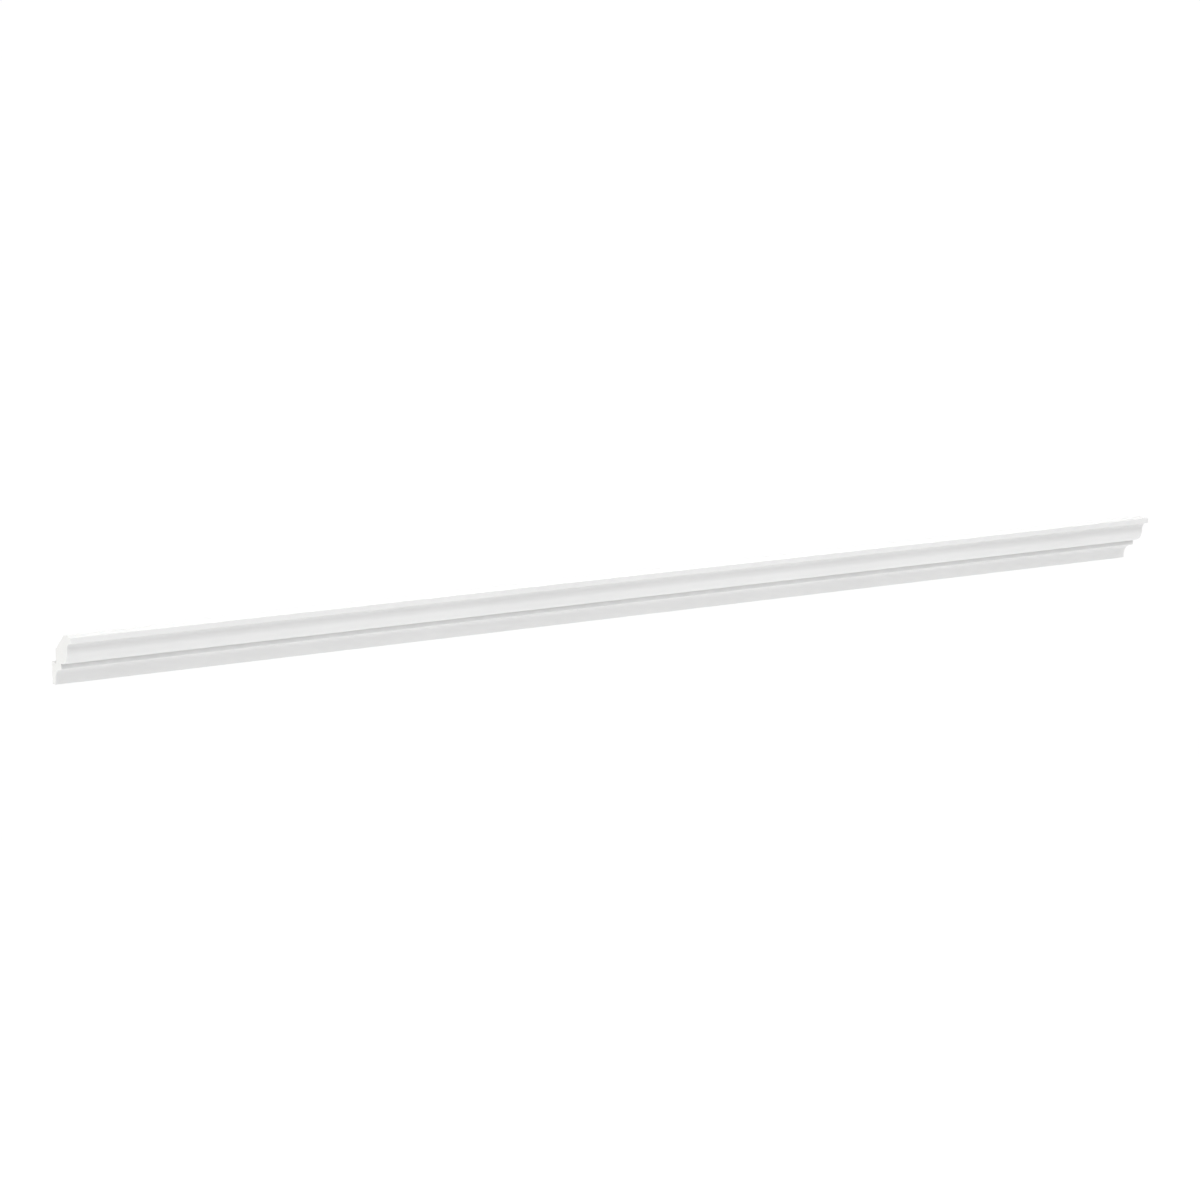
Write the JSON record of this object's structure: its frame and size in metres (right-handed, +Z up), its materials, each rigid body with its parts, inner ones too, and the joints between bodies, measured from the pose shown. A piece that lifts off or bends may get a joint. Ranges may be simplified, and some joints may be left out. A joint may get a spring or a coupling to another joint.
{
  "type": "crown moulding length",
  "caption": "Straight white crown moulding with coves, a fillet, a convex round and a square lip, cut square at both ends, that trims the corner of a wall and a ceiling.",
  "frame": {"origin": "middle of the flat at the back that lies on the wall", "axes": "+X along the length, +Y into the wall, +Z up to the ceiling; the moulded front faces -Y"},
  "size_m": [2.4384, 0.0875, 0.0952],
  "materials": {
    "white_polymer": "satin white, smooth on the moulded faces and finely sawn on the cut ends"
  },
  "bodies": {
    "root": {"moulding": "white_polymer"}
  },
  "joints": []
}
